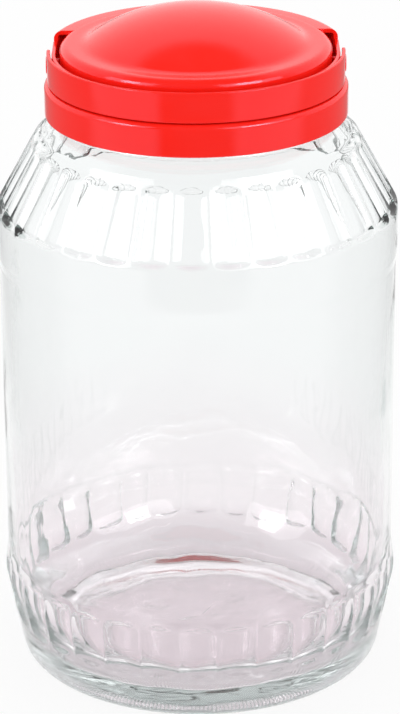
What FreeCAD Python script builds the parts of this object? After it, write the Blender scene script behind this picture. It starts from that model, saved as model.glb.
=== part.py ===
import FreeCAD, Part
import math
import os

from FreeCAD import Vector

# Wide-mouth storage jar of pressed and blown glass, with a red screw lid and a folding carry handle.
# Millimetres and degrees. The origin is the centre of the base, +Z is up, and the front, where the
# handle lies folded, faces -Y. Profiles are drawn as (radius, height) and turned round the Z axis.

# Glass body, outside
BASE_FACE_IN = 60.0        # inner edge of the flat ring that the jar stands on
PUSH_UP = 4.5              # rise of the underside at its centre
PUSH_UP_EDGE_RADIUS = 55.5 # where the underside turns down to the ring
PUSH_UP_EDGE_HEIGHT = 2.0
PUSH_UP_ROUND = 20.0
BASE_EDGE_ROUND = 1.5
HEEL_RADIUS = 69.3         # where the line of the flank meets the ground
HEEL_ROUND = 6.4
BELLY_RADIUS = 76.6        # corner of the belly before it is rounded
BELLY_HEIGHT = 36.3
BELLY_ROUND = 25.0
PANEL_RADIUS = 75.0        # plain wall between the two bands of flutes
PANEL_BOTTOM = 44.0
PANEL_ROUND = 8.0
PANEL_TOP = 162.0
BAND_RADIUS = 75.5         # plain band under the shoulder
BAND_BOTTOM = 165.5
SHOULDER_HEIGHT = 182.6    # the wall turns in here
SHOULDER_ROUND = 6.0
CONE_SLOPE = 0.546         # radius lost for each millimetre of height on the shoulder
CONE_TOP = 210.0
CONE_TOP_ROUND = 6.0
NECK_RADIUS = 52.4
NECK_BOTTOM = 216.5
NECK_ROUND = 2.0
RIM_HEIGHT = 228.6         # top of the mouth, which the lid's deck sits on
RIM_ROUND = 1.2

# Glass body, inside
WALL = 3.0
SHOULDER_WALL = 3.6        # measured along the radius on the shoulder
FLOOR_CENTRE_HEIGHT = 8.0
FLOOR_TURN_RADIUS = 22.0   # where the middle of the floor begins to fall away
FLOOR_TURN_HEIGHT = 7.6
FLOOR_TURN_ROUND = 60.0
FLOOR_EDGE_HEIGHT = 6.5    # where the lines of the floor and the wall meet
INNER_HEEL_ROUND = 30.0
INNER_CONE_TOP_ROUND = 4.0
INNER_NECK_ROUND = 4.0
MOUTH_RADIUS = 48.6

# Flutes: hollow panels with arched ends, side by side round the jar
FLUTE_COUNT = 32
LOWER_FLUTE_BOTTOM = 18.5
LOWER_FLUTE_TOP = 41.0
LOWER_FLUTE_DEPTH = 1.1
LOWER_FLUTE_TURN = -0.7    # turn of the pattern about Z, from a panel facing the front
UPPER_FLUTE_BOTTOM = 183.2
UPPER_FLUTE_TOP = 208.0
UPPER_FLUTE_DEPTH = 1.4
UPPER_FLUTE_TURN = -1.8
FLUTE_SHARE = 0.93         # width of a panel as a share of the pitch, the rest is the rib
ARCH_RISE = 3.2            # length over which a panel's end rises to the surface

# Lid, moulded in one piece
LID_WALL = 1.6
SKIRT_RADIUS = 56.4
SKIRT_BOTTOM = 218.3
SKIRT_EDGE_ROUND = 0.4
DECK_HEIGHT = 230.2        # top of the skirt's shoulder and floor of the groove
SKIRT_TOP_ROUND = 1.8
UNDER_DECK_ROUND = 0.8
RING_RADIUS = 50.4         # raised ring round the dome
RING_WALL = 1.5
PLATEAU_HEIGHT = 245.0
PLATEAU_ROUND = 3.1
DOME_APEX = 257.7
DOME_ACROSS = 56.0         # half axes of the ellipse that gives the dome its curve
DOME_DOWN = 38.6
DOME_FOOT_ROUND = 3.0
GUARD_RADIUS = 53.3        # outside of the wall behind the folded handle
GUARD_WALL = 1.5
GUARD_HEIGHT = 241.0
REAR_RADIUS = 55.3         # outside of the same wall behind the pivots
REAR_BLOCK_START = 15.5    # the rear part of the wall rises to the plateau from this Y
TOP_PLATE_OVERLAP = 4.4    # how far the rear top plate reaches in over the ring

# Carry handle: a flat strap bent to a half ring, folded down at the front
STRAP_RADIUS = 55.2        # outside
STRAP_WALL = 1.25
STRAP_BOTTOM = 230.7
STRAP_TOP = 242.0
STRAP_EDGE_ROUND = 0.45
PIN_RADIUS = 2.4
PIN_CLEARANCE = 0.05
PIN_END_GAP = 0.25         # between the pin's inner end and the ring
BOSS_RADIUS = 3.2
BOSS_PROUD = 0.25

PIVOT_HEIGHT = (STRAP_BOTTOM + STRAP_TOP) / 2
STRAP_END_RADIUS = (STRAP_TOP - STRAP_BOTTOM) / 2
UP = Vector(0, 0, 1)
RIGHT = Vector(1, 0, 0)


def at(radius, height):
    """A point of a profile, in the XZ plane."""
    return Vector(radius, 0, height)


def run(start, end):
    return Part.LineSegment(start, end).toShape()


def curve(start, middle, end):
    return Part.Arc(start, middle, end).toShape()


def rounded_corner(before, corner, after, radius):
    """Start, middle and end of the arc that rounds a corner between two straight runs."""
    towards_before = (before - corner).normalize()
    towards_after = (after - corner).normalize()
    half_angle = towards_before.getAngle(towards_after) / 2
    reach = radius / math.tan(half_angle)
    inward = (towards_before + towards_after).normalize()
    centre = corner + inward * (radius / math.sin(half_angle))
    return corner + towards_before * reach, centre - inward * radius, corner + towards_after * reach


def outline(*items):
    """A closed face from corners (radius, height) or (radius, height, rounding) and ready curves."""
    entries = []
    exits = []
    for item in items:
        if isinstance(item, tuple):
            entries.append(at(item[0], item[1]))
            exits.append(at(item[0], item[1]))
        else:
            entries.append(item.valueAt(item.FirstParameter))
            exits.append(item.valueAt(item.LastParameter))
    edges = []
    here = None
    first = None
    for index, item in enumerate(items):
        entry = entries[index]
        leave = exits[index]
        ready = None
        if not isinstance(item, tuple):
            ready = item
        elif len(item) == 3:
            after = entries[(index + 1) % len(items)]
            entry, middle, leave = rounded_corner(exits[index - 1], entry, after, item[2])
            ready = curve(entry, middle, leave)
        if here is None:
            first = entry
        elif here.distanceToPoint(entry) > 1e-6:
            edges.append(run(here, entry))
        if ready is not None:
            edges.append(ready)
        here = leave
    if here.distanceToPoint(first) > 1e-6:
        edges.append(run(here, first))
    return Part.Face(Part.Wire(edges))


def turned(face):
    """The solid made by turning a profile once round the Z axis."""
    return face.revolve(Vector(0, 0, 0), UP, 360)


def disc(radius, bottom, top):
    return Part.makeCylinder(radius, top - bottom, Vector(0, 0, bottom))


def round_pattern(shape, count, turn):
    """Copies of a shape at even angles round the Z axis, the first facing the front."""
    copies = []
    for index in range(count):
        copy = shape.copy()
        copy.rotate(Vector(0, 0, 0), UP, -90 + turn + index * 360 / count)
        copies.append(copy)
    return copies


def cone_radius(height):
    """Outer radius of the glass shoulder at a height."""
    return BAND_RADIUS - CONE_SLOPE * (height - SHOULDER_HEIGHT)


def belly_radius(height):
    """Outer radius of the glass at a height on the flank or on the belly's rounding."""
    heel = at(HEEL_RADIUS, 0)
    belly = at(BELLY_RADIUS, BELLY_HEIGHT)
    panel = at(PANEL_RADIUS, PANEL_BOTTOM)
    start, middle, end = rounded_corner(heel, belly, panel, BELLY_ROUND)
    if height <= start.z:
        return HEEL_RADIUS + (BELLY_RADIUS - HEEL_RADIUS) * height / BELLY_HEIGHT
    centre = curve(start, middle, end).Curve.Center
    return centre.x + math.sqrt(BELLY_ROUND ** 2 - (height - centre.z) ** 2)


def glass_outside():
    """The outer form, still solid and without flutes."""
    return turned(outline(
        (0, PUSH_UP),
        (PUSH_UP_EDGE_RADIUS, PUSH_UP_EDGE_HEIGHT, PUSH_UP_ROUND),
        (BASE_FACE_IN, 0, BASE_EDGE_ROUND),
        (HEEL_RADIUS, 0, HEEL_ROUND),
        (BELLY_RADIUS, BELLY_HEIGHT, BELLY_ROUND),
        (PANEL_RADIUS, PANEL_BOTTOM, PANEL_ROUND),
        (PANEL_RADIUS, PANEL_TOP, PANEL_ROUND),
        (BAND_RADIUS, BAND_BOTTOM, PANEL_ROUND),
        (BAND_RADIUS, SHOULDER_HEIGHT, SHOULDER_ROUND),
        (cone_radius(CONE_TOP), CONE_TOP, CONE_TOP_ROUND),
        (NECK_RADIUS, NECK_BOTTOM, NECK_ROUND),
        (NECK_RADIUS, RIM_HEIGHT, RIM_ROUND),
        (0, RIM_HEIGHT),
    ))


def glass_inside():
    """The room inside the jar, up through the mouth."""
    inner = PANEL_RADIUS - WALL
    cone_start = SHOULDER_HEIGHT - (WALL - SHOULDER_WALL - BAND_RADIUS + PANEL_RADIUS) / CONE_SLOPE
    inner_cone_top = cone_radius(CONE_TOP) - SHOULDER_WALL
    above = RIM_HEIGHT + 5
    return turned(outline(
        (0, FLOOR_CENTRE_HEIGHT),
        (FLOOR_TURN_RADIUS, FLOOR_TURN_HEIGHT, FLOOR_TURN_ROUND),
        (inner, FLOOR_EDGE_HEIGHT, INNER_HEEL_ROUND),
        (inner, cone_start, SHOULDER_ROUND),
        (inner_cone_top, CONE_TOP, INNER_CONE_TOP_ROUND),
        (MOUTH_RADIUS, NECK_BOTTOM, INNER_NECK_ROUND),
        (MOUTH_RADIUS, above),
        (0, above),
    ))


def flute_hollow_radius(half_width, depth, surface_radius):
    """Radius across a panel that leaves the surface at the panel's edges."""
    return 1 / (2 * depth / half_width ** 2 - 1 / surface_radius)


def flute_cutter(floor, foot_radius, head_radius, depth):
    """A spindle whose deepest line is the floor of a panel, with ends that rise as arches."""
    foot = floor.valueAt(floor.FirstParameter)
    head = floor.valueAt(floor.LastParameter)
    along = (head - foot).normalize()
    outward = along.cross(Vector(0, -1, 0)).normalize()
    end_round = ARCH_RISE ** 2 / (2 * depth)
    axis_foot = foot + outward * foot_radius
    axis_way = (head + outward * head_radius - axis_foot).normalize()

    def end_arc(point, way):
        centre = point + outward * end_round
        places = []
        for angle in (math.radians(30), math.radians(60)):
            places.append(centre + (way * math.sin(angle) - outward * math.cos(angle)) * end_round)
        return places

    def on_axis(point):
        return axis_foot + axis_way * (point - axis_foot).dot(axis_way)

    foot_middle, foot_end = end_arc(foot, along * -1)
    head_middle, head_end = end_arc(head, along)
    edges = [
        run(on_axis(foot_end), foot_end),
        curve(foot_end, foot_middle, foot),
        floor,
        curve(head, head_middle, head_end),
        run(head_end, on_axis(head_end)),
        run(on_axis(head_end), on_axis(foot_end)),
    ]
    return Part.Face(Part.Wire(edges)).revolve(axis_foot, axis_way, 360)


def half_width(radius):
    return radius * math.sin(math.pi / FLUTE_COUNT) * FLUTE_SHARE


def lower_flutes():
    """Cutters for the band of panels round the belly."""
    depth = LOWER_FLUTE_DEPTH
    low = LOWER_FLUTE_BOTTOM + ARCH_RISE
    high = LOWER_FLUTE_TOP - ARCH_RISE
    places = []
    for height in (low, (low + high) / 2, high):
        places.append(at(belly_radius(height) - depth, height))
    floor = curve(*places)
    width = half_width(BELLY_RADIUS)
    hollow = flute_hollow_radius(width, depth, BELLY_RADIUS)
    cutter = flute_cutter(floor, hollow, hollow, depth)
    return round_pattern(cutter, FLUTE_COUNT, LOWER_FLUTE_TURN)


def upper_flutes():
    """Cutters for the band of panels on the shoulder, which narrow with it."""
    depth = UPPER_FLUTE_DEPTH
    lean = math.atan(CONE_SLOPE)
    inward = Vector(-math.cos(lean), 0, -math.sin(lean))
    low = UPPER_FLUTE_BOTTOM + ARCH_RISE * math.cos(lean)
    high = UPPER_FLUTE_TOP - ARCH_RISE * math.cos(lean)
    foot = at(cone_radius(low), low) + inward * depth
    head = at(cone_radius(high), high) + inward * depth
    hollows = []
    for height in (low, high):
        radius = cone_radius(height)
        hollows.append(flute_hollow_radius(half_width(radius), depth, radius / math.cos(lean)))
    cutter = flute_cutter(run(foot, head), hollows[0], hollows[1], depth)
    return round_pattern(cutter, FLUTE_COUNT, UPPER_FLUTE_TURN)


def glass_jar():
    jar = glass_outside()
    jar = jar.cut(lower_flutes())
    jar = jar.cut(upper_flutes())
    return jar.cut(glass_inside())


def dome_curve(thickness, foot_radius):
    """The dome's curve from the axis out to its foot, or a thickness inside it."""
    centre_height = DOME_APEX - DOME_DOWN
    across = DOME_ACROSS - thickness
    down = DOME_DOWN - thickness
    ellipse = Part.Ellipse(at(across, centre_height), at(0, centre_height + down), at(0, centre_height))
    arc = Part.ArcOfEllipse(ellipse, math.acos(foot_radius / across), math.pi / 2)
    return arc.toBSpline().toShape()


def ellipse_radius(thickness, height):
    """Radius of the dome's ellipse, or of the one inside it, at a height."""
    share = (height - DOME_APEX + DOME_DOWN) / (DOME_DOWN - thickness)
    return (DOME_ACROSS - thickness) * math.sqrt(1 - share ** 2)


def rounded_at(shape, radius, height, rounding):
    """The shape with its circular edges at one radius and height rounded."""
    axis_point = Vector(0, 0, height)
    edges = []
    for edge in shape.Edges:
        if edge.Degenerated or not isinstance(edge.Curve, Part.Circle):
            continue
        if edge.Curve.Center.distanceToPoint(axis_point) < 0.01 and abs(edge.Curve.Radius - radius) < 0.01:
            edges.append(edge)
    return shape.makeFillet(rounding, edges)


def lid_shell():
    """Skirt, deck, ring wall, plateau and dome."""
    skirt_inner = SKIRT_RADIUS - LID_WALL
    under_deck = DECK_HEIGHT - LID_WALL
    under_plateau = PLATEAU_HEIGHT - LID_WALL
    ring_inner = RING_RADIUS - RING_WALL
    outside = turned(outline(
        (0, SKIRT_BOTTOM),
        (SKIRT_RADIUS, SKIRT_BOTTOM, SKIRT_EDGE_ROUND),
        (SKIRT_RADIUS, DECK_HEIGHT, SKIRT_TOP_ROUND),
        (RING_RADIUS, DECK_HEIGHT),
        (RING_RADIUS, PLATEAU_HEIGHT, PLATEAU_ROUND),
        dome_curve(0, ellipse_radius(0, PLATEAU_HEIGHT)),
    ))
    outside = rounded_at(outside, ellipse_radius(0, PLATEAU_HEIGHT), PLATEAU_HEIGHT, DOME_FOOT_ROUND)
    inside = turned(outline(
        (0, SKIRT_BOTTOM),
        (skirt_inner, SKIRT_BOTTOM),
        (skirt_inner, under_deck, UNDER_DECK_ROUND),
        (ring_inner, under_deck),
        (ring_inner, under_plateau, PLATEAU_ROUND - LID_WALL),
        dome_curve(LID_WALL, ellipse_radius(LID_WALL, under_plateau)),
    ))
    return outside.cut(inside)


def guard_outline(inset):
    """The wall seen from above: round in front, straight past the pivots, round again behind."""
    front = GUARD_RADIUS - inset
    rear = REAR_RADIUS - inset
    straight = math.sqrt(rear ** 2 - front ** 2)
    edges = [
        curve(Vector(-front, 0, 0), Vector(0, -front, 0), Vector(front, 0, 0)),
        run(Vector(front, 0, 0), Vector(front, straight, 0)),
        curve(Vector(front, straight, 0), Vector(0, rear, 0), Vector(-front, straight, 0)),
        run(Vector(-front, straight, 0), Vector(-front, 0, 0)),
    ]
    return Part.Face(Part.Wire(edges))


def guard_prism(inset, bottom, top):
    """The room within the wall's outline, between two heights."""
    face = guard_outline(inset)
    face.translate(Vector(0, 0, bottom))
    return face.extrude(Vector(0, 0, top - bottom))


def behind(start, bottom, top):
    """Everything with Y beyond a value, between two heights."""
    size = 3 * SKIRT_RADIUS
    return Part.makeBox(size, size, top - bottom, Vector(-size / 2, start, bottom))


def guard_shell(top):
    """The thin wall behind the folded handle, from inside the deck up to a height."""
    bottom = DECK_HEIGHT - LID_WALL / 2
    return guard_prism(0, bottom, top).cut(guard_prism(GUARD_WALL, bottom - 1, top + 1))


def rear_block():
    """The rear wall, raised to the plateau, with the top plate that joins it to the ring."""
    bottom = DECK_HEIGHT - LID_WALL / 2
    under_plateau = PLATEAU_HEIGHT - LID_WALL
    solid = guard_prism(0, bottom, PLATEAU_HEIGHT).common(behind(REAR_BLOCK_START, bottom, PLATEAU_HEIGHT))
    solid = rounded_at(solid, REAR_RADIUS, PLATEAU_HEIGHT, PLATEAU_ROUND)
    room = guard_prism(GUARD_WALL, bottom - 1, under_plateau)
    dome_room = disc(RING_RADIUS - TOP_PLATE_OVERLAP, bottom, PLATEAU_HEIGHT + 1)
    return solid.cut([room, dome_room])


def pivot_holes():
    radius = PIN_RADIUS + PIN_CLEARANCE
    across = 2 * (GUARD_RADIUS + 2)
    through = Part.makeCylinder(radius, across, Vector(-across / 2, 0, PIVOT_HEIGHT), RIGHT)
    return through.cut(disc(RING_RADIUS, DECK_HEIGHT, PLATEAU_HEIGHT))


def lid():
    shape = lid_shell().fuse([guard_shell(GUARD_HEIGHT), rear_block()])
    return shape.cut(pivot_holes()).removeSplitter()


def strap():
    """The half ring with its rounded edges."""
    inner = STRAP_RADIUS - STRAP_WALL
    whole = turned(outline(
        (inner, STRAP_BOTTOM, STRAP_EDGE_ROUND),
        (STRAP_RADIUS, STRAP_BOTTOM, STRAP_EDGE_ROUND),
        (STRAP_RADIUS, STRAP_TOP, STRAP_EDGE_ROUND),
        (inner, STRAP_TOP, STRAP_EDGE_ROUND),
    ))
    return whole.cut(behind(0, STRAP_BOTTOM, STRAP_TOP))


def strap_end(side):
    """The rounded end of the strap at one pivot, with its pin and its boss."""
    inner = STRAP_RADIUS - STRAP_WALL
    middle = STRAP_RADIUS - STRAP_WALL / 2

    def stub(radius, start, finish):
        return Part.makeCylinder(radius, finish - start, Vector(side * start, 0, PIVOT_HEIGHT), RIGHT * side)

    end = stub(STRAP_END_RADIUS, inner, STRAP_RADIUS)
    rims = [edge for edge in end.Edges if isinstance(edge.Curve, Part.Circle)]
    end = end.makeFillet(STRAP_EDGE_ROUND, rims)
    end = end.common(behind(-STRAP_EDGE_ROUND, STRAP_BOTTOM, STRAP_TOP))
    pin = stub(PIN_RADIUS, RING_RADIUS + PIN_END_GAP, middle)
    boss = stub(BOSS_RADIUS, middle, STRAP_RADIUS + BOSS_PROUD)
    return end.fuse([pin, boss])


def handle():
    return strap().fuse([strap_end(-1), strap_end(1)]).removeSplitter()


def export(name, shape):
    solids = shape.Solids
    if len(solids) != 1 or not shape.isValid():
        raise ValueError(f"{name}: {len(solids)} solids, valid {shape.isValid()}")
    solids[0].exportStep(f"parts/{name}.step")
    print(name, "volume", round(shape.Volume, 1), "box", shape.optimalBoundingBox())


os.makedirs("parts", exist_ok=True)
export("glass_jar", glass_jar())
export("lid", lid())
export("handle", handle())
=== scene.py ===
import math

import bmesh
import bpy
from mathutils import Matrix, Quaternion, Vector


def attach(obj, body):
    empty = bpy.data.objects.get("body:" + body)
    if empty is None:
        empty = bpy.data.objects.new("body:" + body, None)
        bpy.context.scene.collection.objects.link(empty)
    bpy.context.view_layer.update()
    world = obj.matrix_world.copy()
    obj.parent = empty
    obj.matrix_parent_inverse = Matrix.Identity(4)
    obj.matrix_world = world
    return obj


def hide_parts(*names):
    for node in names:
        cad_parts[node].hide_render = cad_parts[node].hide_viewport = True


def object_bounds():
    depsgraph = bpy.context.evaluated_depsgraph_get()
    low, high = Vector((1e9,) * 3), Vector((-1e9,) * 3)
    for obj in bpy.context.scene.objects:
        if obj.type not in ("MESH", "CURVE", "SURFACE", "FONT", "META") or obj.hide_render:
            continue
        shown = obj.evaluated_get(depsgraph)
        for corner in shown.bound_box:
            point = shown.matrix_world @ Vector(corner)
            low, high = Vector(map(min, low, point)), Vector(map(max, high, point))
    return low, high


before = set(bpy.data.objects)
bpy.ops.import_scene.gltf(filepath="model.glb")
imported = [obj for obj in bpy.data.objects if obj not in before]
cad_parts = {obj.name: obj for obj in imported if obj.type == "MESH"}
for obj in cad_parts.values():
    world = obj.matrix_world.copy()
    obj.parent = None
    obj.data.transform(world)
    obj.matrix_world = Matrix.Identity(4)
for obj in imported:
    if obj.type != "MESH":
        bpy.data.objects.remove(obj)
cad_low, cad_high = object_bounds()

# A storage jar of pressed and blown soda-lime glass with a red polypropylene screw lid and carry handle.
# Shapes are given in millimetres as (radius, height) and turned into metres where they are made.

MM = 0.001
TOUCH = 0.01 * MM             # places closer than this count as the same
FULL_TURN = 2 * math.pi

# Glass
FLUTE_COUNT = 32
PITCH = FULL_TURN / FLUTE_COUNT
RIB_COLUMNS = 4               # fine columns beside each half rib
PANEL_COLUMNS = 7             # wider columns over the middle of a panel
RIB_SPAN = 0.13 * PITCH
FLUTE_SHARE = 0.94            # width of a hollow panel as a share of the pitch
RIB_SOFTNESS = 0.02           # fire polish on the rib's edges, as a share of the depth
LOWER_FLUTES = (18.5, 41.5)
LOWER_DEPTH = 1.4
LOWER_ARCH = 3.2              # how far the rounded ends of a panel reach
LOWER_TURN = math.radians(-0.7)
UPPER_FLUTES = (182.9, 208.6)
UPPER_DEPTH = 1.35
UPPER_ARCH = 2.2
UPPER_TURN = math.radians(-1.8)
PUSH_UP = 4.5                 # rise of the underside at its centre
PUSH_UP_EDGE = (50.0, 2.9)    # radius and height where it turns down to the ring
BEARING_RADIUS = 60.0         # inner edge of the ring that the jar stands on
HEEL_RADIUS = 69.3
BELLY_RADIUS = 76.6
BELLY_HEIGHT = 36.3
PANEL_RADIUS = 75.0
PANEL_START = 44.0
PANEL_END = 162.0
BAND_RADIUS = 75.5
BAND_START = 165.5
SHOULDER_HEIGHT = 182.6
CONE_TOP = 210.0
CONE_SLOPE = 0.546
CONE_END_RADIUS = BAND_RADIUS - CONE_SLOPE * (CONE_TOP - SHOULDER_HEIGHT)
NECK_START = 216.5
NECK_RADIUS = 52.4
MOUTH_RADIUS = 48.6
RIM_RADIUS = 50.5
RIM_HEIGHT = 228.6
HEEL_MARKS = 250
WALL = 3.0
SHOULDER_WALL = 3.6
FLOOR_HEIGHT = 8.0            # of the inside's floor at its centre
FLOOR_TURN = (22.0, 7.6)      # radius and height where the floor begins to fall away
FLOOR_EDGE_HEIGHT = 6.5

# Lid
LID_WALL = 1.6
SKIRT_RADIUS = 56.4
SKIRT_FOOT = 218.3
DECK_HEIGHT = 230.2
RING_RADIUS = 50.4
RING_WALL = 1.5
PLATEAU_HEIGHT = 245.0
PLATEAU_ROUND = 3.1
DOME_APEX = 257.7
DOME_ACROSS = 56.0
DOME_DOWN = 38.6
DOME_LIFT = 1.1               # how far up the dome its hollow foot reaches
GUARD_RADIUS = 53.3
GUARD_WALL = 1.5
GUARD_HEIGHT = 241.0
REAR_RADIUS = 55.3
REAR_BLOCK_START = 15.5
PLATE_OVERLAP = 4.4           # of the rear plate on to the ring
FOOT_HEIGHT = 229.4           # walls stand inside the deck
SHARP = math.radians(38)

# Carry handle
STRAP_RADIUS = 55.2
STRAP_WALL = 1.25
STRAP_BOTTOM = 230.7
STRAP_TOP = 242.0
PIVOT_HEIGHT = (STRAP_BOTTOM + STRAP_TOP) / 2
PIN_RADIUS = 2.4
PIN_CLEARANCE = 0.05
PIN_END = 0.6                 # of the pin past the strap's inner face
END_GAP = 0.25                # from the pin to the ring, and of the boss over the strap
BOSS_RADIUS = 3.2


# ---- shapes ----

def rounded_profile(corners, arc_step=0.9, arc_turn=math.radians(14)):
    """Points of an outline from corners (radius, height, rounding, rows on the run that follows)."""
    points = []
    for index, (radius, height, rounding, rows) in enumerate(corners):
        corner = Vector((radius, height))
        start = corner
        end = corner
        if rounding > 0:
            back = (Vector(corners[index - 1][:2]) - corner).normalized()
            on = (Vector(corners[index + 1][:2]) - corner).normalized()
            half = back.angle(on) / 2
            centre = corner + (back + on).normalized() * (rounding / math.sin(half))
            start = corner + back * (rounding / math.tan(half))
            end = corner + on * (rounding / math.tan(half))
            turn = math.pi - 2 * half
            steps = max(2, math.ceil(turn * rounding / arc_step), math.ceil(turn / arc_turn))
            if turn * rounding < 4:
                steps = max(2, math.ceil(turn / arc_turn))
            spoke = start - centre
            way = 1 if spoke.cross(end - centre) > 0 else -1
            arc = []
            for step in range(steps + 1):
                angle = way * turn * step / steps
                arc.append(centre + Vector((
                    spoke.x * math.cos(angle) - spoke.y * math.sin(angle),
                    spoke.x * math.sin(angle) + spoke.y * math.cos(angle),
                )))
        else:
            arc = [corner]
        if points:
            before = points[-1]
            for row in range(1, last_rows):
                points.append(before.lerp(start, row / last_rows))
        points.extend(arc)
        last_rows = rows
    return [(point.x, point.y) for point in points]


def open_piece(name):
    """A new piece at the origin, in edit mode, with a single vertex there."""
    bpy.ops.object.select_all(action="DESELECT")
    bpy.ops.mesh.primitive_plane_add(size=MM, location=(0, 0, 0))
    piece = bpy.context.object
    piece.name = name
    piece.data.name = name
    bpy.ops.object.mode_set(mode="EDIT")
    bpy.ops.mesh.select_mode(type="VERT")
    bpy.ops.mesh.merge(type="CENTER")
    return piece


def draw_outline(points, closed):
    """Extrudes the single vertex along the points, in the XZ plane, and selects the whole line."""
    here = Vector((0, 0, 0))
    for index, (radius, height) in enumerate(points):
        place = Vector((radius * MM, 0, height * MM))
        if index == 0:
            bpy.ops.transform.translate(value=place)
        else:
            bpy.ops.mesh.extrude_region_move(TRANSFORM_OT_translate={"value": place - here})
        here = place
    bpy.ops.mesh.select_all(action="SELECT")
    if closed:
        bpy.ops.mesh.edge_face_add()


def close_up():
    """Merges doubled vertices and turns every face outwards."""
    bpy.ops.mesh.select_all(action="SELECT")
    bpy.ops.mesh.remove_doubles(threshold=0.002 * MM)
    bpy.ops.mesh.delete_loose()
    bpy.ops.mesh.select_all(action="SELECT")
    bpy.ops.mesh.normals_make_consistent(inside=False)


def leave_edit(piece, smooth_angle=None):
    bpy.ops.object.mode_set(mode="OBJECT")
    if smooth_angle is None:
        bpy.ops.object.shade_smooth()
    else:
        bpy.ops.object.shade_smooth_by_angle(angle=smooth_angle)
    return piece


def select_where(piece, test):
    """Selects the vertices of the piece in edit mode that pass a test of their place."""
    mesh = bmesh.from_edit_mesh(piece.data)
    for vertex in mesh.verts:
        vertex.select_set(test(vertex.co))
    mesh.select_flush_mode()
    bmesh.update_edit_mesh(piece.data)


def turn_selected(angle):
    """Turns what is selected about the upright axis, counter-clockwise seen from above."""
    bpy.ops.transform.rotate(value=-angle, orient_axis="Z", center_override=(0, 0, 0))


def apply_modifiers(piece):
    bpy.ops.object.select_all(action="DESELECT")
    bpy.context.view_layer.objects.active = piece
    piece.select_set(True)
    for modifier in list(piece.modifiers):
        bpy.ops.object.modifier_apply(modifier=modifier.name)


def push_by_weight(piece, name, weight_at, distance, texture=None, middle=0.0):
    """Moves vertices along their normals by a distance, as far as the weight at their place says."""
    group = piece.vertex_groups.new(name=name)
    for vertex in piece.data.vertices:
        weight = weight_at(vertex.co / MM, vertex.normal)
        if weight > 0:
            group.add([vertex.index], weight, "REPLACE")
    modifier = piece.modifiers.new(name, "DISPLACE")
    modifier.vertex_group = group.name
    modifier.direction = "NORMAL"
    modifier.mid_level = middle
    modifier.strength = distance * MM
    if texture:
        modifier.texture = texture
        modifier.texture_coords = "LOCAL"
    apply_modifiers(piece)
    piece.vertex_groups.clear()


def cloud_texture(name, size):
    texture = bpy.data.textures.new(name, "CLOUDS")
    texture.noise_scale = size * MM
    texture.noise_depth = 1
    return texture


# ---- glass jar ----

def outer_glass_profile():
    """The outside, from the middle of the underside up to the rim."""
    flute_low = LOWER_FLUTES[0] - 1.5
    flank = (BELLY_RADIUS - HEEL_RADIUS) / BELLY_HEIGHT
    return rounded_profile([
        (0, PUSH_UP, 0, 7),
        (*PUSH_UP_EDGE, 70.0, 2),
        (BEARING_RADIUS, 0, 4.0, 3),
        (HEEL_RADIUS, 0, 6.4, 6),
        (HEEL_RADIUS + flank * flute_low, flute_low, 0, 15),
        (BELLY_RADIUS, BELLY_HEIGHT, 25.0, 2),
        (PANEL_RADIUS, PANEL_START, 8.0, 10),
        (PANEL_RADIUS, PANEL_END, 8.0, 2),
        (BAND_RADIUS, BAND_START, 8.0, 8),
        (BAND_RADIUS, SHOULDER_HEIGHT, 6.0, 22),
        (CONE_END_RADIUS, CONE_TOP, 6.0, 3),
        (NECK_RADIUS, NECK_START, 2.0, 2),
        (NECK_RADIUS, RIM_HEIGHT, 1.2, 2),
        (RIM_RADIUS, RIM_HEIGHT, 0, 1),
    ], arc_step=1.3)


def inner_glass_profile():
    """The inside, from the rim down to the middle of the floor."""
    inner = PANEL_RADIUS - WALL
    return rounded_profile([
        (RIM_RADIUS, RIM_HEIGHT, 0, 1),
        (MOUTH_RADIUS, RIM_HEIGHT, 1.2, 2),
        (MOUTH_RADIUS, NECK_START, 4.0, 2),
        (CONE_END_RADIUS - SHOULDER_WALL, CONE_TOP, 4.0, 5),
        (inner, SHOULDER_HEIGHT, 8.0, 12),
        (inner, FLOOR_EDGE_HEIGHT, 30.0, 5),
        (*FLOOR_TURN, 60.0, 4),
        (0, FLOOR_HEIGHT, 0, 1),
    ], arc_step=2.6)


def soft_step(value):
    """Smooth rise from 0 to 1."""
    value = min(1.0, max(0.0, value))
    return value * value * (3 - 2 * value)


def hollow_weight(across, flatness, low, high, rise, height):
    """How deep the panel is at a place: across is -1 to 1 from rib to rib, height in millimetres."""
    from_end = min(height - low, high - height) / rise
    if from_end <= -0.3:
        return 0.0
    arch = 1 - (1 - min(from_end, 1.0)) ** 2
    depth = arch - abs(across / FLUTE_SHARE) ** flatness
    return min(1.0, 0.5 * (depth + math.sqrt(depth * depth + RIB_SOFTNESS ** 2)))


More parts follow.
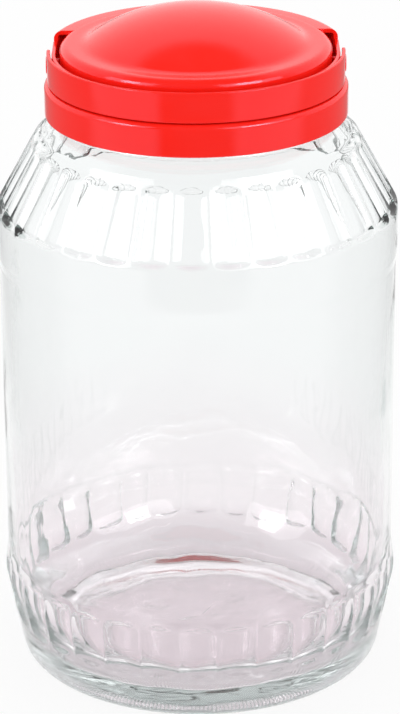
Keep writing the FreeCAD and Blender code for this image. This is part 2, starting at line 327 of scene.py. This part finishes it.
def build_glass():
    """One sector with half a rib at each side, pushed in to a panel in each band, copied round."""
    piece = open_piece("glass_wall")
    outer = outer_glass_profile()
    draw_outline(outer + inner_glass_profile()[1:], closed=False)
    rib = (RIB_COLUMNS, RIB_SPAN)
    panel = (PANEL_COLUMNS, PITCH - 2 * RIB_SPAN)
    for columns, angle in (rib, panel, rib):
        bpy.ops.mesh.spin(steps=columns, angle=angle, center=(0, 0, 0), axis=(0, 0, 1), use_auto_merge=False)
    close_up()
    leave_edit(piece)

    def across(place):
        return 1 + 2 * math.atan2(place.y, place.x) / PITCH

    def faces_out(place, normal):
        return normal.x * place.x + normal.y * place.y > 0

    def lower_panel(place, normal):
        if not faces_out(place, normal) or place.xy.length < 66:
            return 0
        return hollow_weight(across(place), 2.4, *LOWER_FLUTES, LOWER_ARCH, place.z)

    def upper_panel(place, normal):
        if not faces_out(place, normal) or place.z < 170:
            return 0
        return hollow_weight(across(place), 2.0, *UPPER_FLUTES, UPPER_ARCH, place.z)

    push_by_weight(piece, "lower_panel", lower_panel, -LOWER_DEPTH)
    push_by_weight(piece, "upper_panel", upper_panel, -UPPER_DEPTH)

    # The first panel faces the front, and the upper band is turned a little further than the lower one.
    bpy.ops.object.mode_set(mode="EDIT")
    bpy.ops.mesh.select_all(action="SELECT")
    turn_selected(PITCH / 2 - math.pi / 2 + LOWER_TURN)
    select_where(piece, lambda place: place.z > 100 * MM)
    turn_selected(UPPER_TURN - LOWER_TURN)
    bpy.ops.mesh.select_all(action="SELECT")
    bpy.ops.mesh.spin(
        steps=FLUTE_COUNT, angle=FULL_TURN, center=(0, 0, 0), axis=(0, 0, 1), dupli=True,
        use_auto_merge=False)
    close_up()
    leave_edit(piece)

    # The mould side is true, and the blown inside is a little uneven.
    def inside(place, normal):
        if place.z < 8 or place.z > 222:
            return 0.0
        facing_in = normal.x * place.x + normal.y * place.y < 0
        return 1.0 if facing_in or (place.z < 12 and normal.z > 0.5) else 0.0

    def plain_outside(place, normal):
        if not faces_out(place, normal):
            return 0.0
        return soft_step((place.z - 44) / 10) * soft_step((180 - place.z) / 10)

    def inner_floor(place, normal):
        if place.z < 6 or place.z > 30 or normal.z < 0.1:
            return 0.0
        return soft_step((30 - place.z) / 16)

    push_by_weight(piece, "settled_floor", inner_floor, 1.3, cloud_texture("settled_floor", 15), 0.5)
    push_by_weight(piece, "blown_swell", inside, 1.1, cloud_texture("blown_swell", 34), 0.5)
    push_by_weight(piece, "blown_ripple", inside, 0.22, cloud_texture("blown_ripple", 11), 0.5)
    push_by_weight(piece, "mould_swell", plain_outside, 0.22, cloud_texture("mould_swell", 30), 0.5)
    return piece


# ---- lid ----

def dome_points(inset, foot_height, rows):
    """The dome's ellipse, or the one an inset inside it, from its foot up to the axis."""
    centre = DOME_APEX - DOME_DOWN
    down = DOME_DOWN - inset
    foot = math.asin((foot_height - centre) / down)
    points = []
    for row in range(rows + 1):
        angle = foot + (math.pi / 2 - foot) * row / rows
        points.append(((DOME_ACROSS - inset) * math.cos(angle), centre + down * math.sin(angle)))
    points[-1] = (0, centre + down)
    return points


def dome_foot_blend(rounding, rows):
    """A hollow blend between the plateau and the dome."""
    centre = DOME_APEX - DOME_DOWN
    top = math.asin((PLATEAU_HEIGHT + DOME_LIFT - centre) / DOME_DOWN)
    upper = Vector((DOME_ACROSS * math.cos(top), PLATEAU_HEIGHT + DOME_LIFT))
    slope = Vector((DOME_ACROSS * math.sin(top), -DOME_DOWN * math.cos(top))).normalized()
    corner = upper + slope * (DOME_LIFT / -slope.y)
    lower = corner + Vector((rounding, 0))
    points = []
    for row in range(rows + 1):
        share = row / rows
        points.append(lower.lerp(corner, share).lerp(corner.lerp(upper, share), share))
    return [(point.x, point.y) for point in points], upper.y


def build_lid_shell():
    """Skirt, deck, ring, plateau and dome, turned as one closed wall."""
    skirt_inner = SKIRT_RADIUS - LID_WALL
    under_deck = DECK_HEIGHT - LID_WALL
    under_plateau = PLATEAU_HEIGHT - LID_WALL
    ring_inner = RING_RADIUS - RING_WALL
    blend, blend_top = dome_foot_blend(2.6, 6)
    outside = rounded_profile([
        (skirt_inner, SKIRT_FOOT, 0, 2),
        (SKIRT_RADIUS, SKIRT_FOOT, 0.5, 6),
        (SKIRT_RADIUS, DECK_HEIGHT, 1.8, 3),
        (RING_RADIUS, DECK_HEIGHT, 0.3, 6),
        (RING_RADIUS, PLATEAU_HEIGHT, PLATEAU_ROUND, 3),
        (blend[0][0], PLATEAU_HEIGHT, 0, 1),
    ], arc_step=0.45)
    inside = rounded_profile([
        (41.0, under_plateau, 0, 3),
        (ring_inner, under_plateau, PLATEAU_ROUND - LID_WALL, 5),
        (ring_inner, under_deck, 0.3, 3),
        (skirt_inner, under_deck, 0.8, 6),
        (skirt_inner, SKIRT_FOOT, 0, 1),
    ])
    dome = dome_points(0, blend_top, 30)
    under_dome = dome_points(LID_WALL, under_plateau, 14)
    line = outside[:-1] + blend + dome[1:] + list(reversed(under_dome)) + inside[1:-1]
    piece = open_piece("lid_shell")
    draw_outline(line + line[:1], closed=False)
    bpy.ops.mesh.spin(steps=288, angle=FULL_TURN, center=(0, 0, 0), axis=(0, 0, 1), use_auto_merge=False)
    close_up()
    return leave_edit(piece, math.radians(40))


def section_face(name, corners):
    """A closed cross-section in the XZ plane, as one face, in edit mode."""
    piece = open_piece(name)
    radius, height = corners[0][:2]
    line = rounded_profile(corners + [(radius, height, 0, 1)])
    draw_outline(line[:-1], closed=True)
    return piece


def face_near(piece, place):
    """Selects the one face whose middle lies nearest to a place in millimetres."""
    bpy.ops.mesh.select_all(action="DESELECT")
    bpy.ops.mesh.select_mode(type="FACE")
    mesh = bmesh.from_edit_mesh(piece.data)
    goal = Vector(place) * MM
    nearest = min(mesh.faces, key=lambda face: (face.calc_center_median() - goal).length)
    nearest.select_set(True)
    bmesh.update_edit_mesh(piece.data)


def sweep_round(steps, degrees):
    """Spins what is selected round the jar's axis, anticlockwise from above."""
    bpy.ops.mesh.spin(
        steps=steps, angle=-math.radians(degrees), center=(0, 0, 0), axis=(0, 0, 1), use_auto_merge=False)


def cut_pivot_holes(wall):
    """Holes through both sides of the wall, in which the handle's pins turn."""
    bpy.ops.object.select_all(action="DESELECT")
    bpy.ops.mesh.primitive_cylinder_add(
        vertices=64, radius=(PIN_RADIUS + PIN_CLEARANCE) * MM, depth=2 * (GUARD_RADIUS + 2) * MM,
        location=(0, 0, PIVOT_HEIGHT * MM), rotation=(0, math.pi / 2, 0))
    drill = bpy.context.object
    bpy.ops.object.transform_apply(location=True, rotation=True, scale=True)
    cut = wall.modifiers.new("pivot_holes", "BOOLEAN")
    cut.operation = "DIFFERENCE"
    cut.solver = "EXACT"
    cut.object = drill
    apply_modifiers(wall)
    bpy.data.objects.remove(drill)


def build_guard_wall():
    """The thin wall behind the folded handle: round in front, straight past the pivots."""
    inner = GUARD_RADIUS - GUARD_WALL
    piece = section_face("guard_wall", [
        (inner, 236.0, 0, 1),
        (inner, FOOT_HEIGHT, 0, 1),
        (GUARD_RADIUS, FOOT_HEIGHT, 0, 1),
        (GUARD_RADIUS, GUARD_HEIGHT, 0.35, 1),
        (inner, GUARD_HEIGHT, 0.35, 1),
    ])
    sweep_round(56, -90)
    straight = math.sqrt(REAR_RADIUS ** 2 - GUARD_RADIUS ** 2)
    select_where(piece, lambda place: place.x > 0 and abs(place.y) < TOUCH)
    bpy.ops.mesh.extrude_region_move(TRANSFORM_OT_translate={"value": (0, straight * MM, 0)})
    sweep_round(1, 1.2)
    select_where(piece, lambda place: abs(place.x) < TOUCH)
    bpy.ops.mesh.delete(type="ONLY_FACE")
    close_up()
    bpy.ops.object.mode_set(mode="OBJECT")
    mirror = piece.modifiers.new("other_side", "MIRROR")
    mirror.merge_threshold = TOUCH
    apply_modifiers(piece)
    bpy.ops.object.mode_set(mode="EDIT")
    close_up()
    leave_edit(piece)
    cut_pivot_holes(piece)
    bpy.ops.object.shade_smooth_by_angle(angle=SHARP)
    return piece


def build_rear_block():
    """The rear wall raised to the plateau, with the plate that joins it to the ring, hollow underneath."""
    inner = REAR_RADIUS - GUARD_WALL
    top = PLATEAU_HEIGHT - 0.04
    under = PLATEAU_HEIGHT - LID_WALL
    piece = section_face("rear_block", [
        (inner, 236.0, 0, 1),
        (inner, FOOT_HEIGHT, 0, 1),
        (REAR_RADIUS, FOOT_HEIGHT, 0, 1),
        (REAR_RADIUS, top, PLATEAU_ROUND, 1),
        (RING_RADIUS - PLATE_OVERLAP, top, 0, 1),
        (RING_RADIUS - PLATE_OVERLAP, under, 0, 1),
        (inner, under, 1.0, 1),
    ])
    sweep_round(120, 180)
    bpy.ops.mesh.select_all(action="SELECT")
    bpy.ops.mesh.bisect(
        plane_co=(0, REAR_BLOCK_START * MM, 0), plane_no=(0, 1, 0), clear_inner=True, use_fill=True)
    close_up()
    return leave_edit(piece, SHARP)


def join_pieces(pieces, name):
    bpy.ops.object.select_all(action="DESELECT")
    for piece in pieces:
        piece.select_set(True)
    bpy.context.view_layer.objects.active = pieces[0]
    bpy.ops.object.join()
    pieces[0].name = name
    pieces[0].data.name = name
    return pieces[0]


def build_lid():
    return join_pieces([build_lid_shell(), build_guard_wall(), build_rear_block()], "screw_lid")


# ---- carry handle ----

def round_off_end(piece, side):
    """Carries one end of the strap on past the pivot, as a half circle."""
    radius = (STRAP_TOP - STRAP_BOTTOM) / 2
    face_near(piece, (side * (STRAP_RADIUS - STRAP_WALL / 2), 0, PIVOT_HEIGHT))
    for degrees in range(10, 90, 10):
        turn = math.radians(degrees)
        last = math.radians(degrees - 10)
        step = radius * (math.sin(turn) - math.sin(last))
        bpy.ops.mesh.extrude_region_move(TRANSFORM_OT_translate={"value": (0, step * MM, 0)})
        bpy.ops.transform.resize(
            value=(1, 1, math.cos(turn) / math.cos(last)), center_override=(0, 0, PIVOT_HEIGHT * MM))


def build_strap():
    inner = STRAP_RADIUS - STRAP_WALL
    piece = section_face("handle_strap", [
        (inner, PIVOT_HEIGHT, 0, 1),
        (inner, STRAP_BOTTOM, 0.45, 1),
        (STRAP_RADIUS, STRAP_BOTTOM, 0.45, 1),
        (STRAP_RADIUS, STRAP_TOP, 0.45, 1),
        (inner, STRAP_TOP, 0.45, 1),
    ])
    sweep_round(128, -180)
    round_off_end(piece, -1)
    round_off_end(piece, 1)
    close_up()
    return leave_edit(piece, SHARP)


def build_stub(name, side, start, end, radius, rounding):
    """A round stub on the pivot's line, from one distance off the middle to another."""
    bpy.ops.object.select_all(action="DESELECT")
    bpy.ops.mesh.primitive_cylinder_add(
        vertices=40, radius=radius * MM, depth=(end - start) * MM,
        location=(side * (start + end) / 2 * MM, 0, PIVOT_HEIGHT * MM), rotation=(0, side * math.pi / 2, 0))
    piece = bpy.context.object
    piece.name = name
    bpy.ops.object.transform_apply(location=True, rotation=True, scale=True)
    bpy.ops.object.mode_set(mode="EDIT")
    select_where(piece, lambda place: abs(abs(place.x) - end * MM) < TOUCH)
    bpy.ops.mesh.bevel(offset=rounding * MM, segments=3, affect="EDGES")
    return leave_edit(piece, SHARP)


def build_handle():
    pieces = [build_strap()]
    pin_end = STRAP_RADIUS - STRAP_WALL + PIN_END
    for side, word in ((-1, "left"), (1, "right")):
        pieces.append(build_stub("pin_" + word, side, RING_RADIUS + END_GAP, pin_end, PIN_RADIUS, 0.1))
        pieces.append(build_stub("boss_" + word, side, pin_end, STRAP_RADIUS + END_GAP, BOSS_RADIUS, 0.2))
    return join_pieces(pieces, "carry_handle")


# ---- materials ----

def linear(hex_colour):
    """An sRGB hex colour as linear red, green, blue and alpha."""
    channels = []
    for start in (0, 2, 4):
        value = int(hex_colour[start:start + 2], 16) / 255
        channels.append(value / 12.92 if value <= 0.04045 else ((value + 0.055) / 1.055) ** 2.4)
    return (*channels, 1.0)


def add_node(tree, kind, settings=None, links=None):
    """A node with its settings, which are attributes or input values, and its input links."""
    node = tree.nodes.new(kind)
    for key, value in (settings or {}).items():
        if isinstance(key, str) and hasattr(node, key):
            setattr(node, key, value)
        else:
            node.inputs[key].default_value = value
    for key, source in (links or {}).items():
        tree.links.new(source, node.inputs[key])
    return node


EASED = {"interpolation_type": "SMOOTHSTEP"}


def glossy_bounce(tree, path):
    """1 for light coming straight off a shiny surface, 0 for what is seen directly or through the glass."""
    return add_node(
        tree, "ShaderNodeMath", {"operation": "MULTIPLY"},
        {0: path.outputs["Is Glossy Ray"], 1: path.outputs["Is Reflection Ray"]})


def new_material(name):
    material = bpy.data.materials.new(name)
    material.use_nodes = True
    material.node_tree.nodes.clear()
    return material, material.node_tree


def heel_stipple(tree, place):
    """Short upright marks pressed into a narrow band round the heel, 1.7 mm apart."""
    turn = add_node(
        tree, "ShaderNodeTexGradient", {"gradient_type": "RADIAL"}, {"Vector": place.outputs["Object"]})
    marks = add_node(
        tree, "ShaderNodeMath", {"operation": "MULTIPLY", 1: HEEL_MARKS * FULL_TURN},
        {0: turn.outputs["Fac"]})
    wave = add_node(tree, "ShaderNodeMath", {"operation": "SINE"}, {0: marks.outputs[0]})
    crest = add_node(tree, "ShaderNodeMath", {"operation": "MAXIMUM", 1: 0.0}, {0: wave.outputs[0]})
    parts = add_node(tree, "ShaderNodeSeparateXYZ", None, {"Vector": place.outputs["Object"]})
    rise = add_node(
        tree, "ShaderNodeMapRange",
        {**EASED, "From Min": 0.0008, "From Max": 0.0014}, {"Value": parts.outputs["Z"]})
    fall = add_node(
        tree, "ShaderNodeMapRange",
        {**EASED, "From Min": 0.0030, "From Max": 0.0024}, {"Value": parts.outputs["Z"]})
    band = add_node(
        tree, "ShaderNodeMath", {"operation": "MULTIPLY"},
        {0: rise.outputs["Result"], 1: fall.outputs["Result"]})
    return add_node(
        tree, "ShaderNodeMath", {"operation": "MULTIPLY"},
        {0: crest.outputs[0], 1: band.outputs[0]})


def clear_soda_lime_glass():
    """Clear fire-polished soda-lime glass: sharp reflections, a grey-green tint where it is thick, and
    painted pink light low down.
    """
    material, tree = new_material("soda_lime_glass")
    place = add_node(tree, "ShaderNodeTexCoord")
    ripple = add_node(
        tree, "ShaderNodeTexNoise", {"Scale": 55.0, "Detail": 2.0},
        {"Vector": place.outputs["Object"]})
    bump = add_node(
        tree, "ShaderNodeBump", {"Strength": 0.12, "Distance": 0.0006}, {"Height": ripple.outputs["Fac"]})
    stipple = heel_stipple(tree, place)
    marks = add_node(
        tree, "ShaderNodeBump", {"Strength": 0.35, "Distance": 0.0004},
        {"Height": stipple.outputs[0], "Normal": bump.outputs["Normal"]})
    film = add_node(
        tree, "ShaderNodeTexNoise", {"Scale": 30.0, "Detail": 6.0},
        {"Vector": place.outputs["Object"]})
    haze = add_node(
        tree, "ShaderNodeMapRange",
        {"From Min": 0.45, "From Max": 0.8, "To Min": 0.0, "To Max": 0.03}, {"Value": film.outputs["Fac"]})
    parts = add_node(tree, "ShaderNodeSeparateXYZ", None, {"Vector": place.outputs["Object"]})
    foot = add_node(
        tree, "ShaderNodeMapRange",
        {"From Min": 0.0, "From Max": 0.003, "To Min": 0.1, "To Max": 0.0}, {"Value": parts.outputs["Z"]})
    rough = add_node(
        tree, "ShaderNodeMath", {"operation": "MAXIMUM"},
        {0: foot.outputs["Result"], 1: haze.outputs["Result"]})
    # Painted pink light and slight shade: below 30 mm the glass's colour is pinker and a little darker,
    # fading out by 100 mm, for the red light that comes down through the lid.
    low = add_node(
        tree, "ShaderNodeMapRange",
        {"From Min": 0.03, "From Max": 0.1, "To Min": 1.0, "To Max": 0.0}, {"Value": parts.outputs["Z"]})
    colour = add_node(tree, "ShaderNodeMix", {"data_type": "RGBA"}, {"Factor": low.outputs["Result"]})
    colour.inputs["A"].default_value = linear("FDFEFE")
    colour.inputs["B"].default_value = linear("FAF4F7")
    surface = add_node(
        tree, "ShaderNodeBsdfPrincipled", {"IOR": 1.52, "Transmission Weight": 1.0},
        {
            "Base Color": colour.outputs["Result"],
            "Normal": marks.outputs["Normal"],
            "Roughness": rough.outputs[0],
        })
    tint = add_node(tree, "ShaderNodeVolumeAbsorption", {"Color": linear("C4D0CD"), "Density": 12.0})
    add_node(
        tree, "ShaderNodeOutputMaterial", None,
        {"Surface": surface.outputs["BSDF"], "Volume": tint.outputs["Volume"]})
    return material


def moulded_polypropylene(name, roughness):
    """Injection-moulded polypropylene, mass-coloured red: glossy, with a faint flow mottle."""
    material, tree = new_material(name)
    place = add_node(tree, "ShaderNodeTexCoord")
    flow = add_node(
        tree, "ShaderNodeTexNoise", {"Scale": 60.0, "Detail": 3.0, "Distortion": 0.6},
        {"Vector": place.outputs["Object"]})
    colour = add_node(tree, "ShaderNodeMix", {"data_type": "RGBA"}, {"Factor": flow.outputs["Fac"]})
    colour.inputs["A"].default_value = linear("FF2113")
    colour.inputs["B"].default_value = linear("FF291E")
    peel = add_node(
        tree, "ShaderNodeTexNoise", {"Scale": 260.0, "Detail": 2.0},
        {"Vector": place.outputs["Object"]})
    bump = add_node(
        tree, "ShaderNodeBump", {"Strength": 0.08, "Distance": 0.0002}, {"Height": peel.outputs["Fac"]})
    sheen = add_node(
        tree, "ShaderNodeMapRange",
        {"From Min": 0.3, "From Max": 0.7, "To Min": roughness * 0.8, "To Max": roughness * 1.25},
        {"Value": flow.outputs["Fac"]})
    surface = add_node(
        tree, "ShaderNodeBsdfPrincipled", {"IOR": 1.49, "Specular Tint": linear("FFE0FF")},
        {
            "Base Color": colour.outputs["Result"],
            "Roughness": sheen.outputs["Result"],
            "Normal": bump.outputs["Normal"],
        })
    add_node(tree, "ShaderNodeOutputMaterial", None, {"Surface": surface.outputs["BSDF"]})
    return material


# ---- stage ----

PAPER_GLOW = 0.92             # share of its own light in the paper's white
ROOM_LEVEL = 1.12
FLOOR_GAP = 0.4 * MM          # keeps the paper off the glass, so that neither flickers through


def build_floor():
    """Pale paper: white when seen directly; under the jar, seen through the glass, dimmer with painted shade
    and a painted pink cast; mirrored darker in front and beside it.
    """
    bpy.ops.object.select_all(action="DESELECT")
    bpy.ops.mesh.primitive_circle_add(vertices=96, radius=4.0, fill_type="NGON", location=(0, 0, -FLOOR_GAP))
    floor = bpy.context.object
    floor.name = "pale_floor"
    material, tree = new_material("pale_paper")
    path = add_node(tree, "ShaderNodeLightPath")
    place = add_node(tree, "ShaderNodeTexCoord")
    parts = add_node(tree, "ShaderNodeSeparateXYZ", None, {"Vector": place.outputs["Object"]})
    forward = add_node(
        tree, "ShaderNodeMapRange",
        {**EASED, "From Min": -0.42, "From Max": -0.52}, {"Value": parts.outputs["Y"]})
    slant = add_node(
        tree, "ShaderNodeMath", {"operation": "DIVIDE"},
        {0: parts.outputs["X"], 1: parts.outputs["Y"]})
    aside = add_node(tree, "ShaderNodeMath", {"operation": "ABSOLUTE"}, {0: slant.outputs[0]})
    ahead = add_node(
        tree, "ShaderNodeMapRange",
        {**EASED, "From Min": 0.42, "From Max": 0.62, "To Min": 0.95, "To Max": 0.0},
        {"Value": aside.outputs[0]})
    far = add_node(
        tree, "ShaderNodeMath", {"operation": "MULTIPLY"},
        {0: forward.outputs["Result"], 1: ahead.outputs["Result"]})
    across = add_node(tree, "ShaderNodeMath", {"operation": "ABSOLUTE"}, {0: parts.outputs["X"]})
    sides = add_node(
        tree, "ShaderNodeMapRange",
        {**EASED, "From Min": 0.16, "From Max": 0.32, "To Min": 0.0, "To Max": 0.7},
        {"Value": across.outputs[0]})
    behind = add_node(
        tree, "ShaderNodeMapRange",
        {**EASED, "From Min": -0.2, "From Max": 0.0}, {"Value": parts.outputs["Y"]})
    beside = add_node(
        tree, "ShaderNodeMath", {"operation": "MULTIPLY"},
        {0: sides.outputs["Result"], 1: behind.outputs["Result"]})
    darker = add_node(
        tree, "ShaderNodeMath", {"operation": "MAXIMUM"},
        {0: far.outputs[0], 1: beside.outputs[0]})
    mirrored = glossy_bounce(tree, path)
    shade = add_node(
        tree, "ShaderNodeMath", {"operation": "MULTIPLY"}, {0: darker.outputs[0], 1: mirrored.outputs[0]})
    level = add_node(tree, "ShaderNodeMath", {"operation": "SUBTRACT", 0: 1.0}, {1: shade.outputs[0]})
    # Painted shade under the jar: near the axis the paper's matt colour is darker, and seen through the
    # glass it gives less of its own light there.
    from_axis = add_node(
        tree, "ShaderNodeVectorMath", {"operation": "LENGTH"}, {0: place.outputs["Object"]})
    paper = add_node(
        tree, "ShaderNodeMapRange",
        {**EASED, "From Min": 0.06, "From Max": 0.12, "To Min": 0.62, "To Max": 0.8},
        {"Value": from_axis.outputs["Value"]})
    under = add_node(
        tree, "ShaderNodeMapRange",
        {**EASED, "From Min": 0.08, "From Max": 0.12, "To Min": 0.62, "To Max": PAPER_GLOW},
        {"Value": from_axis.outputs["Value"]})
    through = add_node(
        tree, "ShaderNodeMath", {"operation": "MULTIPLY"},
        {0: under.outputs["Result"], 1: path.outputs["Is Transmission Ray"]})
    direct = add_node(
        tree, "ShaderNodeMath", {"operation": "MAXIMUM"},
        {0: path.outputs["Is Camera Ray"], 1: mirrored.outputs[0]})
    shown = add_node(
        tree, "ShaderNodeMath", {"operation": "MULTIPLY_ADD", 1: PAPER_GLOW},
        {0: direct.outputs[0], 2: through.outputs[0]})
    share = add_node(tree, "ShaderNodeMath", {"operation": "MINIMUM", 1: PAPER_GLOW}, {0: shown.outputs[0]})
    matt = add_node(tree, "ShaderNodeBsdfDiffuse", None, {"Color": paper.outputs["Result"]})
    # Painted pink light: seen through the glass, the paper's own light is pink within 80 mm of the axis,
    # fading out by 120 mm, for the red light that comes through the lid.
    near = add_node(
        tree, "ShaderNodeMapRange",
        {**EASED, "From Min": 0.12, "From Max": 0.08, "To Min": 0.0, "To Max": 1.0},
        {"Value": from_axis.outputs["Value"]})
    painted_lid_pink = add_node(
        tree, "ShaderNodeMath", {"operation": "MULTIPLY"},
        {0: near.outputs["Result"], 1: path.outputs["Is Transmission Ray"]})
    tone = add_node(tree, "ShaderNodeMix", {"data_type": "RGBA"}, {"Factor": painted_lid_pink.outputs[0]})
    tone.inputs["A"].default_value = linear("FFFFFF")
    tone.inputs["B"].default_value = linear("FBF6F9")
    glow = add_node(
        tree, "ShaderNodeEmission", None, {"Color": tone.outputs["Result"], "Strength": level.outputs[0]})
    mix = add_node(
        tree, "ShaderNodeMixShader", None,
        {0: share.outputs[0], 1: matt.outputs["BSDF"], 2: glow.outputs["Emission"]})
    add_node(tree, "ShaderNodeOutputMaterial", None, {"Surface": mix.outputs["Shader"]})
    floor.data.materials.append(material)


def build_world():
    """Even pale light all round, mirrored in shiny surfaces as a dark ceiling and a darker front."""
    world = bpy.data.worlds.new("studio")
    world.use_nodes = True
    bpy.context.scene.world = world
    tree = world.node_tree
    tree.nodes.clear()
    way = add_node(tree, "ShaderNodeTexCoord")
    parts = add_node(tree, "ShaderNodeSeparateXYZ", None, {"Vector": way.outputs["Generated"]})
    height = add_node(
        tree, "ShaderNodeMapRange",
        {**EASED, "From Min": 0.80, "From Max": 0.92, "To Min": 1.0, "To Max": 0.1},
        {"Value": parts.outputs["Z"]})
    rear = add_node(
        tree, "ShaderNodeMapRange",
        {**EASED, "From Min": -0.35, "From Max": 0.15, "To Min": 0.12, "To Max": 1.0},
        {"Value": parts.outputs["Y"]})
    room = add_node(
        tree, "ShaderNodeMath", {"operation": "MULTIPLY"},
        {0: height.outputs["Result"], 1: rear.outputs["Result"]})
    mirrored = glossy_bounce(tree, add_node(tree, "ShaderNodeLightPath"))
    level = add_node(
        tree, "ShaderNodeMix", {"data_type": "FLOAT", "A": ROOM_LEVEL},
        {"Factor": mirrored.outputs[0], "B": room.outputs[0]})
    back = add_node(
        tree, "ShaderNodeBackground", {"Color": linear("FFFFFF")},
        {"Strength": level.outputs["Result"]})
    add_node(tree, "ShaderNodeOutputWorld", None, {"Surface": back.outputs["Background"]})


def add_softbox(name, azimuth, elevation, distance, width, height, level):
    """A soft light seen in shiny surfaces, aimed at the jar. Azimuth runs from the front to the right."""
    turn = math.radians(azimuth)
    lift = math.radians(elevation)
    back = Vector((math.sin(turn) * math.cos(lift), -math.cos(turn) * math.cos(lift), math.sin(lift)))
    lamp = bpy.data.lights.new(name, "AREA")
    lamp.shape = "RECTANGLE"
    lamp.size = width
    lamp.size_y = height
    lamp.energy = level * math.pi * width * height
    light = bpy.data.objects.new(name, lamp)
    light.location = Vector((0, 0, 0.15)) + back * distance
    light.rotation_mode = "QUATERNION"
    light.rotation_quaternion = (-back).to_track_quat("-Z", "Y")
    light.visible_diffuse = False
    bpy.context.scene.collection.objects.link(light)
    return light


def build_camera():
    aim = Vector((0.0006, 0, 0.4633 * cad_high.z))
    pitch = math.radians(22.04)
    back = Vector((0, -math.cos(pitch), math.sin(pitch)))
    data = bpy.data.cameras.new("camera")
    data.sensor_width = 36.0
    data.lens = 156.45
    camera = bpy.data.objects.new("camera", data)
    camera.location = aim + back * 1.191
    camera.rotation_mode = "QUATERNION"
    roll = Quaternion((0, 0, 1), math.radians(-0.45))
    camera.rotation_quaternion = (-back).to_track_quat("-Z", "Y") @ roll
    bpy.context.scene.collection.objects.link(camera)
    bpy.context.scene.camera = camera


def finish_piece(piece, body, node, material):
    piece.data.materials.clear()
    piece.data.materials.append(material)
    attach(piece, body)
    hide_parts(node)


bpy.context.scene.view_settings.view_transform = "Standard"
# Light runs many times round inside the thick base before it comes out.
bpy.context.scene.cycles.max_bounces = 32
bpy.context.scene.cycles.glossy_bounces = 24
bpy.context.scene.cycles.transmission_bounces = 24
build_camera()
build_floor()
build_world()
add_softbox("softbox_left", -58, 24, 1.3, 1.0, 0.75, 2.6)
add_softbox("softbox_right", 48, 24, 1.3, 1.25, 0.75, 2.6)
add_softbox("softbox_left_core", -56, 24, 1.25, 0.34, 0.45, 9)
add_softbox("softbox_right_core", 45, 24, 1.25, 0.46, 0.45, 9)

glass = clear_soda_lime_glass()
red_gloss = moulded_polypropylene("red_polypropylene", 0.12)
finish_piece(build_glass(), "jar", "glass_jar", glass)
finish_piece(build_lid(), "jar", "lid", red_gloss)
finish_piece(build_handle(), "carry_handle", "handle", red_gloss)
